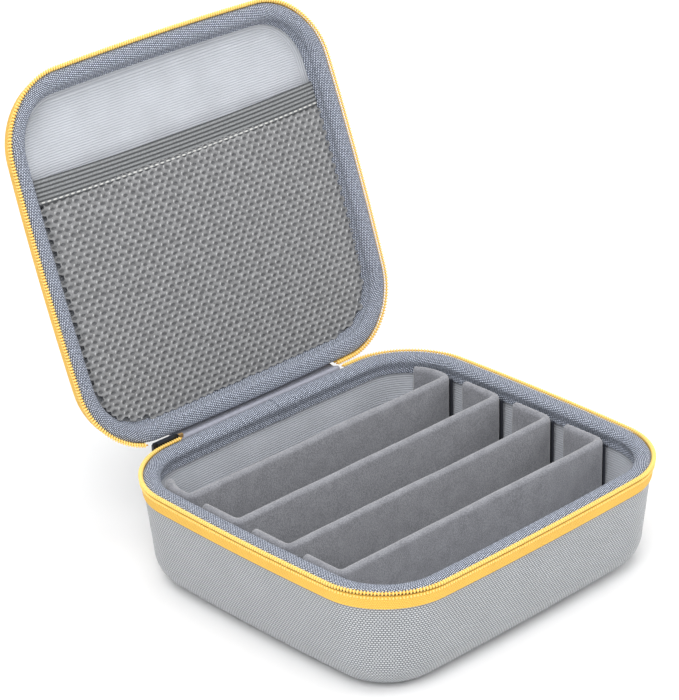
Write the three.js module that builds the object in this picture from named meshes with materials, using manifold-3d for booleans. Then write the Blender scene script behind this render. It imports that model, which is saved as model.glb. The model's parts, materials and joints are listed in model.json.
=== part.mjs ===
// Zipped semi-hard case with a hinged lid and four lift-out dividers, lid standing open.
// Millimetres, +Z up, origin at the centre of the flat underside, hinge along X at the back (+Y).
import * as THREE from 'three';
import { mergeVertices } from 'three/addons/utils/BufferGeometryUtils.js';
import Module from 'manifold-3d';

const wasm = await Module();
wasm.setup();

// Case body
const rimWidth = 190;          // X across the edge where zipper meets binding
const rimDepth = 174.6;        // Y across the same edge
const cornerRadius = 33;
const sideBulge = 2.6;         // how far the left and right sides bow out
const endBulge = 2.1;          // how far the front and back bow out
const baseHeight = 54;
const wallDraft = 4;           // how far a wall leans in from rim to bottom fillet
const bottomFillet = 17;
const lidHeight = 14;
const lidDraft = 1.2;
const lidFillet = lidHeight - 2;
const openAngle = 109.7;       // degrees between the two rims at rest
const rimGap = 2.7;            // from the hinge axis to the lid's rim plane
const hingeSetback = 1.5;      // from the back edge of the rim to the hinge axis

// Wall layers, from the outside in
const fit = 0.3;               // gap between neighbouring pieces
const skinProud = 0.6;         // outer fabric beyond the rim edge
const outerSkin = 0.9;
const foamWall = 3.4;
const liningSkin = 0.8;
const bindingSkin = 1.2;
const bindingLeg = 8;          // how far the binding runs down the inner wall
const lidBindingLeg = lidHeight * 0.43;
const bindingTop = 1.5;        // wall tops stop this far below the rim edge
const rollWidth = 8;
const rollRise = 0.8;
const rollFoot = 5.2;          // below the rim edge, where the roll meets the inner wall

// Zipper
const tapeHeight = 7;
const tapeDrop = 1.1;
const tapeThickness = 0.6;
const coilWidth = 2;
const coilHeight = 2;
const coilRise = 1.1;          // coil top above the rim edge
const stripHalfWidth = 49;     // hinge strip along X
const tapeBackStart = 52;      // zipper tapes and coils begin here on the back wall
const lidCoilStart = 69;       // the lid's left coil stops short of the parked slider
const sliderLength = 15.5;
const sliderHeight = 8.4;
const sliderRise = 2.2;        // slider top above the rim edge, inside the lid's swing
const sliderPlate = 1.4;
const sliderClear = 0.6;       // between the coil and the slider's plate
const sliderGap = 0.5;         // from the base's coil end to the parked slider
const sliderTaper = 2;
const railHeight = 0.8;
const railDepth = 1;
const crownHalf = 2.6;         // half the space between the crown's posts
const crownPost = 1;
const crownBar = 0.7;          // radius of the bar that the pull hangs on
const pullEyeWall = 0.5;
const pullLength = 22;
const pullWidth = 7;
const pullThickness = 1.2;
const pullNeck = 3;
const pullShoulder = 5.5;      // below the crown, where the pull is full width
const stopWidth = 2.2;
const stopDepth = 1.4;
const stopHeight = 1.9;
const stopGap = 1.2;           // stop's middle beyond the base's coil end

// Hinge strip
const stripThickness = 0.9;
const stripLeg = 12;
const stripLidLeg = 10;
const stripRise = 2.2;         // straight on each wall up to here from the two rims
const stripHandle = 0.9;       // how far the bend keeps its direction past a rim

// Dividers
const dividerCount = 4;
const dividerPitch = 32.7;
const dividerThickness = 4.4;
const dividerDrop = 2;         // divider top below the rim plane
const dividerFloorGap = 1;
const flapLength = 24;
const flapThickness = 3.4;
const hookThickness = 1.2;
const hookHeight = baseHeight * 0.444;
const hookMargin = 2;         // hook strip short of the flap's two edges
const hookInset = 9.4;         // hook strip's outer face from the rim edge
const coreThickness = 1.6;
const coreSide = 8;            // divider cover beyond the core board, left and right
const coreTop = 4;
const spare = 1;               // cutters reach this far beyond what they cut

// Lid pocket
const pocketSink = 0.5542;       // mesh below the lid's rim plane, as a part of the lid's hollow
const meshThickness = 1.2;
const elasticWidth = 12;
const elasticThickness = 1.8;
const elasticEdge = -32;       // Y of the elastic's hinge-side edge with the lid closed

const cornerSteps = 7;
const sideSteps = 4;
const filletSteps = 4;
const tapeSteps = 3;

// Each half of the shell stands on its flat face with its rim on top.
const baseHalf = { height: baseHeight, draft: wallDraft, fillet: bottomFillet, leg: bindingLeg };
const lidHalf = { height: lidHeight, draft: lidDraft, fillet: lidFillet, leg: lidBindingLeg };

// Depth of each layer from the outer fabric's face
const foamStart = outerSkin + fit;
const foamEnd = foamStart + foamWall;
const liningStart = foamEnd + fit;
const liningEnd = liningStart + liningSkin;
const bindingStart = liningEnd + fit;
const bindingEnd = bindingStart + bindingSkin;
const hingeY = rimDepth / 2 + endBulge + hingeSetback;

const finishes = {
  ballistic: { color: 0xbfc4c9, roughness: 0.6, metalness: 0 },
  foam: { color: 0x3c3f44, roughness: 0.95, metalness: 0 },
  lining: { color: 0xb9bdc6, roughness: 0.95, metalness: 0 },
  binding: { color: 0x8a94a8, roughness: 0.9, metalness: 0 },
  zipper: { color: 0xfdcc50, roughness: 0.55, metalness: 0 },
  slider: { color: 0x1c2028, roughness: 0.35, metalness: 0.6 },
  strip: { color: 0xa9abb6, roughness: 0.8, metalness: 0 },
  felt: { color: 0x8f9198, roughness: 1, metalness: 0 },
  board: { color: 0x6a6258, roughness: 0.9, metalness: 0 },
  hook: { color: 0x23252b, roughness: 0.9, metalness: 0 },
  mesh: { color: 0x7f8284, roughness: 0.85, metalness: 0 },
  elastic: { color: 0x6f7276, roughness: 0.9, metalness: 0 },
  stop: { color: 0xc79a5c, roughness: 0.5, metalness: 0 }
};
const materials = Object.fromEntries(
  Object.entries(finishes).map(([name, look]) => [name, new THREE.MeshStandardMaterial(look)])
);

const object = new THREE.Group();
const lid = new THREE.Group();
lid.position.set(0, hingeY, baseHeight);
lid.rotation.x = -THREE.MathUtils.degToRad(openAngle);
object.add(lid);

function add(group, name, geometry, material) {
  const mesh = new THREE.Mesh(geometry, materials[material]);
  mesh.name = name;
  group.add(mesh);
  return mesh;
}

// Pillow shape: the four sides bow out, the corners stay.
function bow(x, y) {
  const alongX = x / (rimWidth / 2);
  const alongY = y / (rimDepth / 2);
  return [
    x + sideBulge * alongX * (1 - alongY * alongY),
    y + endBulge * alongY * (1 - alongX * alongX)
  ];
}

// Stations round the case at one inset, from the back wall's middle by way of -X, or from
// the two given distances off the middle where a piece leaves the hinge free.
function outline(inset, backLeft = 0, backRight = 0) {
  const halfX = rimWidth / 2 - inset;
  const halfY = rimDepth / 2 - inset;
  const radius = Math.max(cornerRadius - inset, 1);
  const flatX = halfX - radius;
  const flatY = halfY - radius;
  const points = [];
  const side = (x0, y0, x1, y1, steps) => {
    for (let i = 0; i < steps; i++) {
      const t = i / steps;
      points.push([x0 + (x1 - x0) * t, y0 + (y1 - y0) * t]);
    }
  };
  const corner = (cx, cy, start, skipped = 0) => {
    for (let i = 0; i < cornerSteps; i++) {
      const angle = start + skipped + (Math.PI / 2 - skipped) * (i / cornerSteps);
      points.push([cx + radius * Math.cos(angle), cy + radius * Math.sin(angle)]);
    }
  };
  if (backLeft < flatX) side(-backLeft, halfY, -flatX, halfY, sideSteps / 2);
  corner(-flatX, flatY, Math.PI / 2, Math.asin(Math.max(backLeft - flatX, 0) / cornerRadius));
  side(-halfX, flatY, -halfX, -flatY, sideSteps);
  corner(-flatX, -flatY, Math.PI);
  side(-flatX, -halfY, flatX, -halfY, sideSteps);
  corner(flatX, -flatY, -Math.PI / 2);
  side(halfX, -flatY, halfX, flatY, sideSteps);
  corner(flatX, flatY, 0);
  side(flatX, halfY, backRight, halfY, sideSteps / 2);
  if (backRight > 0) points.push([backRight, halfY]);
  return points.map(([x, y]) => bow(x, y));
}

function signedVolume(positions, faces) {
  let volume = 0;
  const [a, b, c] = [new THREE.Vector3(), new THREE.Vector3(), new THREE.Vector3()];
  for (const [i, j, k] of faces) {
    a.fromArray(positions, i * 3);
    b.fromArray(positions, j * 3);
    c.fromArray(positions, k * 3);
    volume += a.dot(b.cross(c)) / 6;
  }
  return volume;
}

function solidGeometry(positions, faces) {
  const outward = signedVolume(positions, faces) > 0;
  const index = faces.flatMap(([i, j, k]) => (outward ? [i, j, k] : [i, k, j]));
  const geometry = new THREE.BufferGeometry();
  geometry.setAttribute('position', new THREE.Float32BufferAttribute(positions, 3));
  geometry.setIndex(index);
  geometry.computeVertexNormals();
  return geometry;
}

// Closed solid through rings of equal length. A profile point is [inset, height].
// A closed profile makes a band; an open one makes a tub, capped at both ends.
function sweep(profile, { closedProfile, gap = null, place = (x, y, z) => [x, y, z] }) {
  const rings = profile.map(([inset, z]) => {
    const stations = gap ? outline(inset, gap[0], gap[1]) : outline(inset);
    return stations.map(([x, y]) => place(x, y, z));
  });
  const count = rings[0].length;
  const positions = rings.flat(2);
  const faces = [];
  const at = (ring, station) => (ring % rings.length) * count + (station % count);
  const ringSpans = closedProfile ? rings.length : rings.length - 1;
  const stationSpans = gap ? count - 1 : count;
  for (let r = 0; r < ringSpans; r++) {
    for (let s = 0; s < stationSpans; s++) {
      faces.push([at(r, s), at(r, s + 1), at(r + 1, s + 1)]);
      faces.push([at(r, s), at(r + 1, s + 1), at(r + 1, s)]);
    }
  }
  if (!closedProfile) {
    for (const ring of [0, rings.length - 1]) {
      for (let s = 1; s < count - 1; s++) faces.push([at(ring, 0), at(ring, s), at(ring, s + 1)]);
    }
  }
  if (gap) {
    const flat = profile.map(([inset, z]) => new THREE.Vector2(inset, z));
    const ends = THREE.ShapeUtils.triangulateShape(flat, []);
    for (const station of [0, count - 1]) {
      for (const [i, j, k] of ends) faces.push([at(i, station), at(j, station), at(k, station)]);
    }
  }
  return solidGeometry(positions, orientFaces(faces));
}

// Make neighbouring faces agree on which way they wind.
function orientFaces(faces) {
  const edgeOwners = new Map();
  faces.forEach((face, index) => {
    for (let e = 0; e < 3; e++) {
      const key = [face[e], face[(e + 1) % 3]].sort((a, b) => a - b).join('_');
      if (!edgeOwners.has(key)) edgeOwners.set(key, []);
      edgeOwners.get(key).push(index);
    }
  });
  const done = new Set([0]);
  const queue = [0];
  const runs = (face, from, to) => [0, 1, 2].some((e) => face[e] === from && face[(e + 1) % 3] === to);
  while (queue.length) {
    const current = queue.pop();
    for (let e = 0; e < 3; e++) {
      const from = faces[current][e];
      const to = faces[current][(e + 1) % 3];
      const key = [from, to].sort((a, b) => a - b).join('_');
      for (const other of edgeOwners.get(key)) {
        if (done.has(other)) continue;
        if (runs(faces[other], from, to)) faces[other].reverse();
        done.add(other);
        queue.push(other);
      }
    }
  }
  return faces;
}

// Inset of the surface that lies a given depth inside the outer fabric, at a height.
function wallInset(depth, z, { height, draft, fillet }) {
  const lean = (draft * (height - z)) / (height - fillet);
  if (z >= fillet) return depth - skinProud + lean;
  const radius = fillet - depth;
  return draft + fillet - skinProud - Math.sqrt(radius * radius - (fillet - z) ** 2);
}

// From a wall's top down to the edge of its flat floor.
function wallCurve(depth, topZ, half) {
  const curve = [[wallInset(depth, topZ, half), topZ]];
  for (let i = 0; i <= filletSteps; i++) {
    const angle = (Math.PI / 2) * (i / filletSteps);
    const radius = half.fillet - depth;
    const centre = half.draft + half.fillet - skinProud;
    curve.push([centre - radius * Math.cos(angle), half.fillet - radius * Math.sin(angle)]);
  }
  return curve;
}

function tub(outerDepth, innerDepth, half, place) {
  const topZ = half.height - bindingTop - fit;
  const profile = [
    ...wallCurve(outerDepth, topZ, half).reverse(),
    ...wallCurve(innerDepth, topZ, half)
  ];
  return sweep(profile, { closedProfile: false, place });
}

function binding(half, place) {
  const { height, leg } = half;
  const legEnd = height - leg;
  const inner = (z) => wallInset(bindingEnd, z, half);
  const outer = (z) => wallInset(bindingStart, z, half);
  const under = height - bindingTop;
  const foot = height - Math.min(rollFoot, leg * 0.9);
  const profile = [
    [fit, under],
    [fit, height - rollRise / 4],
    [fit + rollWidth * 0.18, height + rollRise * 0.75],
    [rollWidth / 2, height + rollRise],
    [rollWidth * 0.88, height + rollRise / 8],
    [rollWidth, height - rollFoot * 0.33],
    [rollWidth * 0.94, height - rollFoot * 0.65],
    [inner(foot), foot],
    [inner(legEnd), legEnd],
    [outer(legEnd), legEnd],
    [outer(under), under]
  ];
  return sweep(profile, { closedProfile: true, place });
}

function zipperTape(half, gap, place) {
  const top = half.height - tapeDrop;
  const face = [];
  for (let i = 0; i <= tapeSteps; i++) {
    const z = top - tapeHeight * (i / tapeSteps);
    face.push([wallInset(-fit, z, half), z]);
  }
  const outside = face.map(([inset, z]) => [inset - tapeThickness, z]).reverse();
  return sweep([...face, ...outside], { closedProfile: true, gap, place });
}

function zipperCoil(half, gap, place) {
  const top = half.height + coilRise;
  const low = top - coilHeight;
  const profile = [
    [0, top],
    [0, low],
    [-coilWidth, low],
    [-coilWidth, top - coilHeight / 3],
    [-coilWidth * 0.6, top]
  ];
  return sweep(profile, { closedProfile: true, gap, place });
}

const baseGap = [tapeBackStart, tapeBackStart];
const lidGap = [lidCoilStart, tapeBackStart];
const baseShells = [
  ['base_outer_fabric', tub(0, outerSkin, baseHalf), 'ballistic'],
  ['base_foam_shell', tub(foamStart, foamEnd, baseHalf), 'foam'],
  ['base_lining', tub(liningStart, liningEnd, baseHalf), 'lining'],
  ['base_binding', binding(baseHalf), 'binding'],
  ['base_zipper_tape', zipperTape(baseHalf, baseGap), 'zipper'],
  ['base_zipper_coil', zipperCoil(baseHalf, baseGap), 'zipper']
];
for (const [name, geometry, material] of baseShells) add(object, name, geometry, material);

// The lid is built closed, upside down over the base, about the hinge axis.
const onLid = (x, y, z) => [x, y - hingeY, rimGap + lidHeight - z];
const lidShells = [
  ['lid_outer_fabric', tub(0, outerSkin, lidHalf, onLid), 'ballistic'],
  ['lid_foam_shell', tub(foamStart, foamEnd, lidHalf, onLid), 'foam'],
  ['lid_lining', tub(liningStart, liningEnd, lidHalf, onLid), 'lining'],
  ['lid_binding', binding(lidHalf, onLid), 'binding'],
  ['lid_zipper_tape', zipperTape(lidHalf, lidGap, onLid), 'zipper'],
  ['lid_zipper_coil', zipperCoil(lidHalf, lidGap, onLid), 'zipper']
];
for (const [name, geometry, material] of lidShells) add(lid, name, geometry, material);

// Solids for joining and cutting
function toManifold(geometry) {
  const bare = geometry.clone();
  for (const name of Object.keys(bare.attributes)) {
    if (name !== 'position') bare.deleteAttribute(name);
  }
  const merged = mergeVertices(bare, 1e-4);
  const mesh = new wasm.Mesh({
    numProp: 3,
    vertProperties: new Float32Array(merged.attributes.position.array),
    triVerts: new Uint32Array(merged.index.array)
  });
  return new wasm.Manifold(mesh);
}

function fromManifold(manifold) {
  const mesh = manifold.getMesh();
  const geometry = new THREE.BufferGeometry();
  geometry.setAttribute('position', new THREE.Float32BufferAttribute(mesh.vertProperties, 3));
  geometry.setIndex(Array.from(mesh.triVerts));
  geometry.computeVertexNormals();
  return geometry;
}

function block(x0, x1, y0, y1, z0, z1) {
  const geometry = new THREE.BoxGeometry(x1 - x0, y1 - y0, z1 - z0);
  geometry.translate((x0 + x1) / 2, (y0 + y1) / 2, (z0 + z1) / 2);
  return toManifold(geometry);
}

function prism(points, z0, z1) {
  const shape = new THREE.Shape(points.map(([x, y]) => new THREE.Vector2(x, y)));
  const geometry = new THREE.ExtrudeGeometry(shape, { depth: z1 - z0, bevelEnabled: false });
  geometry.translate(0, 0, z0);
  return toManifold(geometry);
}

// Rounded bar along X with its section in Y and Z
function barAlongX(x0, x1, y, z, radius, sides) {
  const geometry = new THREE.CylinderGeometry(radius, radius, x1 - x0, sides);
  geometry.rotateZ(Math.PI / 2);
  geometry.translate((x0 + x1) / 2, y, z);
  return toManifold(geometry);
}

// Dividers: a felt cover with an end flap each side turned towards the hinge
const cavityDepth = liningEnd + dividerFloorGap;
const cavityWall = [
  [hookInset - fit, baseHeight + spare],
  [hookInset - fit, bottomFillet + dividerDrop],
  ...wallCurve(cavityDepth, baseHeight, baseHalf).slice(2).filter(([inset]) => inset > hookInset)
];
const cavity = toManifold(sweep(cavityWall, { closedProfile: false }));
const dividerTop = baseHeight - dividerDrop;
const panelHalf = rimWidth / 2 - hookInset - hookThickness - fit;

// Y that a flap reaches when it runs its length along the wall and round the rear corner
function flapEnd(startY, inset) {
  const radius = cornerRadius - inset;
  const straight = rimDepth / 2 - cornerRadius - startY;
  if (flapLength <= straight) return startY + flapLength;
  return startY + straight + radius * Math.sin((flapLength - straight) / radius);
}

for (let i = 0; i < dividerCount; i++) {
  const y = (i - (dividerCount - 1) / 2) * dividerPitch;
  const [front, back] = [y - dividerThickness / 2, y + dividerThickness / 2];
  const flapOut = hookInset + hookThickness + fit;
  const end = flapEnd(front, flapOut);
  const across = (y0, y1, z0, z1) => block(-rimWidth, rimWidth, y0, y1, z0, z1);
  const hollow = prism(outline(flapOut + flapThickness), -spare, baseHeight)
    .intersect(across(back, end + spare, -spare, baseHeight));
  const coreHalf = panelHalf - coreSide;
  const slot = block(
    -coreHalf - fit, coreHalf + fit, y - coreThickness / 2 - fit, y + coreThickness / 2 + fit,
    -spare, dividerTop - coreTop + fit
  );
  const cover = prism(outline(flapOut), 0, dividerTop)
    .intersect(across(front, end, 0, dividerTop))
    .subtract(hollow)
    .intersect(cavity)
    .subtract(slot);
  const hookTop = dividerTop - coreTop;
  const core = block(
    -coreHalf, coreHalf, y - coreThickness / 2, y + coreThickness / 2, cavityDepth, hookTop
  );
  const number = i + 1;
  add(object, `divider_${number}_cover`, fromManifold(cover), 'felt');
  add(object, `divider_${number}_core`, fromManifold(core.intersect(cavity)), 'board');
  const hookBand = prism(outline(hookInset), hookTop - hookHeight, hookTop)
    .subtract(prism(outline(hookInset + hookThickness), 0, baseHeight))
    .intersect(across(front + hookMargin, end - hookMargin, 0, baseHeight));
  for (const [x0, x1, label] of [[-rimWidth, 0, 'left'], [0, rimWidth, 'right']]) {
    const half = block(x0, x1, -rimDepth, rimDepth, 0, baseHeight);
    add(object, `divider_${number}_hook_${label}`, fromManifold(hookBand.intersect(half)), 'hook');
  }
}

// Lid pocket, in the lid's closed frame about the hinge axis
const pocketDepth = (lidHeight - liningEnd) * pocketSink;
const meshZ = rimGap + pocketDepth;
const pocketInset = wallInset(bindingEnd, lidHeight - lidBindingLeg, lidHalf) + fit;
const pocketPlate = (thickness) => {
  const lift = (meshThickness - thickness) / 2;
  const plate = prism(outline(pocketInset), meshZ + lift, meshZ + lift + thickness);
  return plate.translate([0, -hingeY, 0]);
};
const meshArea = block(-rimWidth, rimWidth, elasticEdge + fit - hingeY, rimDepth, 0, lidHeight);
const elasticArea = block(
  -rimWidth, rimWidth, elasticEdge - elasticWidth - hingeY, elasticEdge - hingeY, 0, lidHeight
);
add(lid, 'pocket_mesh', fromManifold(pocketPlate(meshThickness).intersect(meshArea)), 'mesh');
add(lid, 'pocket_elastic', fromManifold(pocketPlate(elasticThickness).intersect(elasticArea)), 'elastic');

// Hinge strip: up the back of the base, over the hinge, along the back of the lid
function hingeStrip() {
  const turn = THREE.MathUtils.degToRad(openAngle);
  const onLidWall = (y, z) => new THREE.Vector2(
    y * Math.cos(turn) + z * Math.sin(turn),
    -y * Math.sin(turn) + z * Math.cos(turn)
  );
  const centre = -hingeSetback + skinProud + fit + stripThickness / 2;
  const baseEnd = new THREE.Vector2(centre, -stripRise);
  const lidStart = onLidWall(centre, rimGap + stripRise);
  const baseHandle = new THREE.Vector2(centre, stripHandle);
  const lidHandle = onLidWall(centre, rimGap - stripHandle);
  const bend = new THREE.CubicBezierCurve(baseEnd, baseHandle, lidHandle, lidStart);
  const lidLeg = [0.5, 0.7, 0.85, 1].map((part) => {
    const down = stripLidLeg * part;
    const inset = wallInset(-fit - stripThickness / 2, lidHeight - down, lidHalf);
    return onLidWall(-hingeSetback - inset, rimGap + down);
  });
  const path = [new THREE.Vector2(centre, -stripLeg), ...bend.getPoints(8), ...lidLeg];
  const offset = (reach) => path.map((point, i) => {
    const ahead = path[Math.min(i + 1, path.length - 1)];
    const behind = path[Math.max(i - 1, 0)];
    const along = ahead.clone().sub(behind).normalize();
    return new THREE.Vector2(point.x - reach * along.y, point.y + reach * along.x);
  });
  const edges = [...offset(stripThickness / 2), ...offset(-stripThickness / 2).reverse()];
  const shape = new THREE.Shape(edges);
  const geometry = new THREE.ExtrudeGeometry(shape, { depth: stripHalfWidth * 2, bevelEnabled: false });
  // Shape X becomes Y, shape Y becomes Z, extrusion becomes X
  const axes = new THREE.Matrix4().makeBasis(
    new THREE.Vector3(0, 1, 0), new THREE.Vector3(0, 0, 1), new THREE.Vector3(1, 0, 0)
  );
  geometry.applyMatrix4(axes.setPosition(-stripHalfWidth, hingeY, baseHeight));
  return fromManifold(toManifold(geometry));
}
add(object, 'hinge_strip', hingeStrip(), 'strip');

// Slider parked beside the hinge strip, its channel open towards the wall
const sliderX = -(tapeBackStart + sliderGap + sliderLength / 2);
const plateIn = bow(sliderX, rimDepth / 2)[1] + coilWidth + sliderClear;
const plateOut = plateIn + sliderPlate;
const sliderHigh = baseHeight + sliderRise;
const sliderLow = sliderHigh - sliderHeight;
const pullEye = crownBar + fit;
const crownY = plateOut + pullEye + pullEyeWall + fit;
const crownZ = sliderLow;
const crownReach = crownHalf + crownPost;

function slider() {
  const [x0, x1] = [sliderX - sliderLength / 2, sliderX + sliderLength / 2];
  const nose = sliderTaper * 1.6;
  const shoulder = sliderTaper * 0.4;
  const plateOutline = [
    [x0, sliderLow + sliderTaper], [x0 + sliderTaper, sliderLow], [x1 - nose, sliderLow],
    [x1, sliderLow + nose], [x1, sliderHigh - shoulder], [x1 - shoulder, sliderHigh],
    [x0 + shoulder, sliderHigh], [x0, sliderHigh - shoulder]
  ];
  const plate = prism(plateOutline, 0, sliderPlate).rotate([90, 0, 0]).translate([0, plateOut, 0]);
  const rails = [sliderLow, sliderHigh - railHeight].map((z) => (
    block(x0 + sliderTaper, x1 - nose, plateIn - railDepth, plateOut, z, z + railHeight)
  ));
  const bar = barAlongX(sliderX - crownReach, sliderX + crownReach, crownY, crownZ, crownBar, 12);
  const posts = [sliderX - crownReach, sliderX + crownHalf].map((x) => (
    block(x, x + crownPost, plateOut - sliderPlate / 2, crownY, crownZ - crownBar, crownZ + crownBar)
  ));
  return [...rails, bar, ...posts].reduce((sum, piece) => sum.add(piece), plate);
}
add(object, 'zipper_slider', fromManifold(slider()), 'slider');

function sliderPull() {
  const neckHalf = crownHalf - fit;
  const half = pullWidth / 2;
  const shape = new THREE.Shape();
  shape.moveTo(-neckHalf, crownZ);
  shape.lineTo(-neckHalf, crownZ - pullNeck);
  shape.lineTo(-half, crownZ - pullShoulder);
  shape.lineTo(-half, crownZ - pullLength + half);
  shape.absarc(0, crownZ - pullLength + half, half, Math.PI, Math.PI * 2, false);
  shape.lineTo(half, crownZ - pullShoulder);
  shape.lineTo(neckHalf, crownZ - pullNeck);
  shape.lineTo(neckHalf, crownZ);
  shape.closePath();
  const flat = { depth: pullThickness, bevelEnabled: false, curveSegments: 10 };
  const tab = new THREE.ExtrudeGeometry(shape, flat);
  tab.rotateX(Math.PI / 2);
  tab.translate(sliderX, crownY + pullThickness / 2, 0);
  const eye = (reach, radius) => barAlongX(sliderX - reach, sliderX + reach, crownY, crownZ, radius, 16);
  return toManifold(tab).add(eye(neckHalf, pullEye + pullEyeWall)).subtract(eye(crownReach, pullEye));
}
add(object, 'slider_pull', fromManifold(sliderPull()), 'slider');

// End stop across the base's coil, low enough for the lid to swing past
const stopX = -(tapeBackStart - stopGap);
const stopY = bow(stopX, rimDepth / 2)[1] + coilWidth + fit;
const stop = block(
  stopX - stopWidth / 2, stopX + stopWidth / 2, stopY, stopY + stopDepth,
  baseHeight + coilRise / 4 - stopHeight / 2, baseHeight + coilRise / 4 + stopHeight / 2
);
add(object, 'zipper_end_stop', fromManifold(stop), 'stop');

export default object;
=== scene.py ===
import json
import math
import bpy
import bmesh
from mathutils import Matrix, Vector, noise


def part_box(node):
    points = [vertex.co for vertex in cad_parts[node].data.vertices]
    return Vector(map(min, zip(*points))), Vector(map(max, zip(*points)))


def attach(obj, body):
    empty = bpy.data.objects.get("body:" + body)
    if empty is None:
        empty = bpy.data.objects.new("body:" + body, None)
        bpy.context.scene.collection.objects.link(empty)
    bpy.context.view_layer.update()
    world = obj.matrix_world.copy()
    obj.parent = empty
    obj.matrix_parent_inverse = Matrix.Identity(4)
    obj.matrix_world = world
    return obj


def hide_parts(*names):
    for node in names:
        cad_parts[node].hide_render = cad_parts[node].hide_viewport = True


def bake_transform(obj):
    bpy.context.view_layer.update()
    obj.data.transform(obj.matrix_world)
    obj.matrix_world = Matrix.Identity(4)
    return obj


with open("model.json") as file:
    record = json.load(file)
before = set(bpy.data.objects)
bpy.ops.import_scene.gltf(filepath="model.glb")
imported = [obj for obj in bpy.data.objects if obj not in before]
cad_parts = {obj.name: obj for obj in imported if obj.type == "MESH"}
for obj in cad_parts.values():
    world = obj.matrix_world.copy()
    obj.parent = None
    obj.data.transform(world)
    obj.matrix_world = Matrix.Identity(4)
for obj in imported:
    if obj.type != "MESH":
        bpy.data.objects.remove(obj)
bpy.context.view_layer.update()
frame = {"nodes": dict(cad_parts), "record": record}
print("frame loaded")

mm = 0.001
joints = {j["name"]: j for j in frame["record"]["behaviour"]["joints"]}
hingePoint = Vector(joints["lid_hinge"]["pos_m"])
openAngle = -math.radians(joints["lid_hinge"]["range_deg"][0])
openTurn = (
    Matrix.Translation(hingePoint)
    @ Matrix.Rotation(-openAngle, 4, "X")
    @ Matrix.Translation(-hingePoint)
)


def closedBox(node):  # a lid node's corners with the lid shut
    back = openTurn.inverted()
    points = [back @ v.co for v in frame["nodes"][node].data.vertices]
    low = Vector([min(p[i] for p in points) for i in range(3)])
    high = Vector([max(p[i] for p in points) for i in range(3)])
    return low, high


# the case's own measures, read off the frame
case = {
    "corner": 33 * mm,
    "bowX": 2.6 * mm,  # sides bow out
    "bowY": 2.1 * mm,
    "rollRise": 0.8 * mm,
    "gap": 0.3 * mm,
    "proud": 0.6 * mm,  # outer fabric beyond the rim edge
    "skin": 0.9 * mm,
    "lining": 4.9 * mm,  # depth of the lining's back from the outer face
    "liningSkin": 0.8 * mm,
    "wallTop": 1.8 * mm,
}
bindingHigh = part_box("base_binding")[1]
case["halfX"] = bindingHigh.x + case["gap"] - case["bowX"]
case["halfY"] = bindingHigh.y + case["gap"] - case["bowY"]
case["rim"] = bindingHigh.z - case["rollRise"]
lidHigh = closedBox("lid_outer_fabric")[1]
case["lidRim"] = closedBox("lid_binding")[0].z + case["rollRise"]
case["lidHeight"] = lidHigh.z - case["lidRim"]

cornerX = case["halfX"] - case["corner"]
cornerY = case["halfY"] - case["corner"]
quarterRun = cornerX + cornerY + case["corner"] * math.pi / 2


def onLid(height):  # from a tub standing on the floor to the lid's place at rest
    flip = Matrix.Diagonal((1, 1, -1, 1))
    lift = Matrix.Translation((0, 0, case["lidRim"] + height))
    return openTurn @ lift @ flip


def bow(x, y):
    ax = x / case["halfX"]
    ay = y / case["halfY"]
    return (x + case["bowX"] * ax * (1 - ay * ay), y + case["bowY"] * ay * (1 - ax * ax))


def rimRun(x, y, mid):  # distance round the case from the back's middle, clockwise from above
    ax, ay = abs(x), abs(y)
    if ax > cornerX and ay > cornerY:
        run = cornerX + case["corner"] * math.atan2(ax - cornerX, ay - cornerY)
    elif ay > cornerY or ay - cornerY > ax - cornerX:
        run = min(ax, cornerX)
    else:
        run = cornerX + case["corner"] * math.pi / 2 + cornerY - ay
    if mid.x >= 0:
        return run if mid.y >= 0 else 2 * quarterRun - run
    return 2 * quarterRun + run if mid.y < 0 else 4 * quarterRun - run


def rimPoint(run, inset, z):  # point, direction along the rim and outward normal
    run = run % (4 * quarterRun)
    quarter = int(run // quarterRun)
    s = run - quarter * quarterRun
    if quarter % 2:
        s = quarterRun - s
    reach = case["corner"] - inset
    if s < cornerX:
        x, y, angle = s, cornerY + reach, 0.0
    elif s < cornerX + case["corner"] * math.pi / 2:
        angle = (s - cornerX) / case["corner"]
        x, y = cornerX + reach * math.sin(angle), cornerY + reach * math.cos(angle)
    else:
        x, y, angle = cornerX + reach, quarterRun - s, math.pi / 2
    signX = 1 if quarter in (0, 1) else -1
    signY = 1 if quarter in (0, 3) else -1
    x, y = bow(x * signX, y * signY)
    out = Vector((math.sin(angle) * signX, math.cos(angle) * signY, 0))
    return Vector((x, y, z)), Vector((out.y, -out.x, 0)), out


def finishPiece(name, bm, material, body, nodes=(), smoothAngle=38):
    bmesh.ops.recalc_face_normals(bm, faces=bm.faces)
    limit = math.radians(smoothAngle)
    for face in bm.faces:
        face.smooth = True
    for edge in bm.edges:
        if len(edge.link_faces) == 2 and edge.calc_face_angle(0) > limit:
            edge.smooth = False
    mesh = bpy.data.meshes.new(name)
    bm.to_mesh(mesh)
    bm.free()
    mesh.materials.append(material)
    piece = bpy.data.objects.new(name, mesh)
    bpy.context.collection.objects.link(piece)
    if body:
        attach(piece, body)
    if nodes:
        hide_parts(*nodes)
    return piece


def pullEdges(bm, edges, way, steps):  # draws a line of edges out into a strip of faces
    for _ in range(steps):
        grown = bmesh.ops.extrude_edge_only(bm, edges=edges)["geom"]
        moved = {g for g in grown if isinstance(g, bmesh.types.BMVert)}
        bmesh.ops.translate(bm, verts=list(moved), vec=way / steps)
        drawn = [g for g in grown if isinstance(g, bmesh.types.BMEdge)]
        edges = [e for e in drawn if all(v in moved for v in e.verts)]
    return edges


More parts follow.
